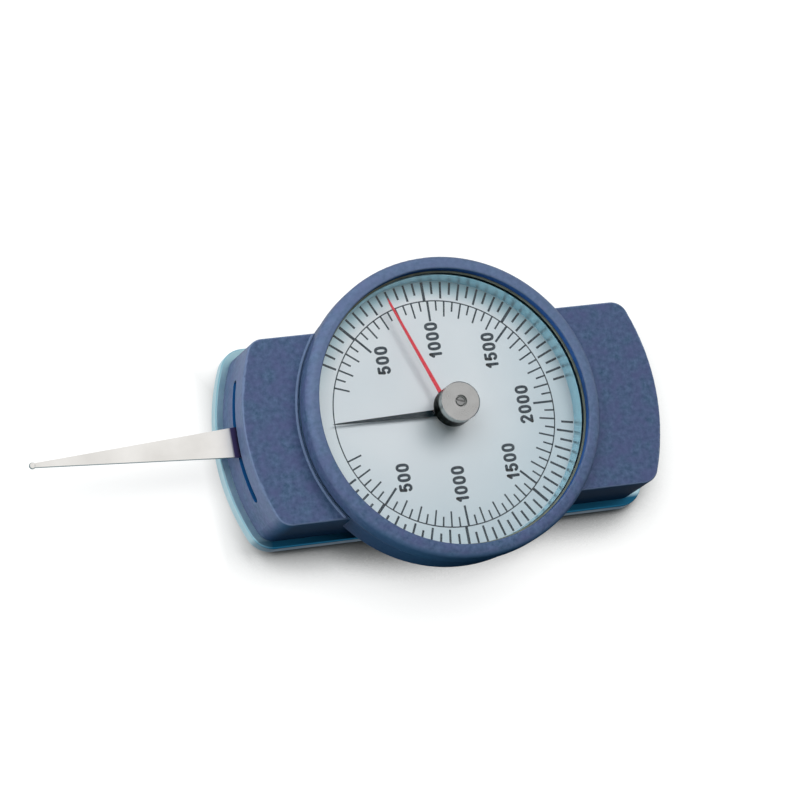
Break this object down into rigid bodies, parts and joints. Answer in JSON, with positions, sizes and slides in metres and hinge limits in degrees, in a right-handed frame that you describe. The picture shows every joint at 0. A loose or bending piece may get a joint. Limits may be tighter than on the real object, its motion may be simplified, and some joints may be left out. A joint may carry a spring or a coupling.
{
  "type": "dial tension gauge",
  "caption": "Hand-held force gauge: round dial on a flat case, sprung feeler blade in an end slot, driven hand and knob-set maximum hand.",
  "frame": {"origin": "centre of the dial axis on the flat back face of the case", "axes": "+Z out through the dial, away from the back face; -X along the feeler at rest; +X towards the tail"},
  "size_m": [0.1456, 0.068, 0.0308],
  "materials": {
    "blue_paint": "mottled blue-violet stove enamel, semi-gloss",
    "polished_steel": "polished, pressed",
    "plain_steel": "turned, bright",
    "dial_white": "silver-white, satin",
    "ring_silver": "satin",
    "clear_glass": "clear, polished",
    "ring_cream": "cream",
    "brass": "turned",
    "spring_steel": "blued",
    "ground_steel": "ground",
    "dark_hand": "blackened",
    "red_hand": "red enamel",
    "satin_nickel": "turned satin nickel",
    "screw_steel": "bright"
  },
  "bodies": {
    "case": {"front_housing": "blue_paint", "back_cover": "polished_steel", "back_cover_screws": "plain_steel", "dial_plate": "dial_white", "spacer_ring": "ring_silver", "crystal": "clear_glass", "crystal_ring": "ring_cream", "crystal_bush": "brass", "bridge_plate": "brass", "base_plate": "brass", "plate_pillars": "plain_steel", "pillar_screws": "plain_steel", "bridge_screws": "plain_steel", "lever_bushes": "brass", "pinion_bushes": "brass", "travel_stops": "plain_steel", "measuring_spring": "spring_steel", "measuring_spring_stud": "plain_steel", "hairspring": "spring_steel", "hairspring_stud": "plain_steel"},
    "feeler": {"lever_arbor": "plain_steel", "measuring_spring_collet": "brass", "sector_gear": "brass", "feeler_carrier": "ground_steel", "feeler_blade": "ground_steel", "feeler_tip": "ground_steel", "clamp_screws": "plain_steel"},
    "pointer": {"pointer_arbor": "plain_steel", "centre_pinion": "brass", "hairspring_collet": "brass", "pointer_hand": "dark_hand", "pointer_hub": "brass", "drive_pin": "plain_steel"},
    "max_pointer": {"max_pointer_hand": "red_hand", "max_pointer_hub": "brass", "knob_spindle": "plain_steel", "reset_knob": "satin_nickel", "knob_screw": "screw_steel", "friction_washer": "spring_steel"}
  },
  "joints": [
    {"name": "feeler_swing", "type": "hinge", "parent": "case", "child": "feeler", "pos_m": [-0.0198, 0, 0.0133], "axis": [0, 0, 1], "range_deg": [-18, 18], "stiffness_Nm_per_rad": 4.5, "deforming": ["measuring_spring"]},
    {"name": "pointer_turn", "type": "hinge", "parent": "case", "child": "pointer", "pos_m": [0, 0, 0.0201], "axis": [0, 0, 1], "range_deg": [-180, 180], "deforming": ["hairspring"]},
    {"name": "max_pointer_turn", "type": "hinge", "parent": "case", "child": "max_pointer", "pos_m": [0, 0, 0.0225], "axis": [0, 0, 1], "continuous": true}
  ],
  "couplings": [
    {"joint": "pointer_turn", "follows": "feeler_swing", "ratio": -10}
  ]
}
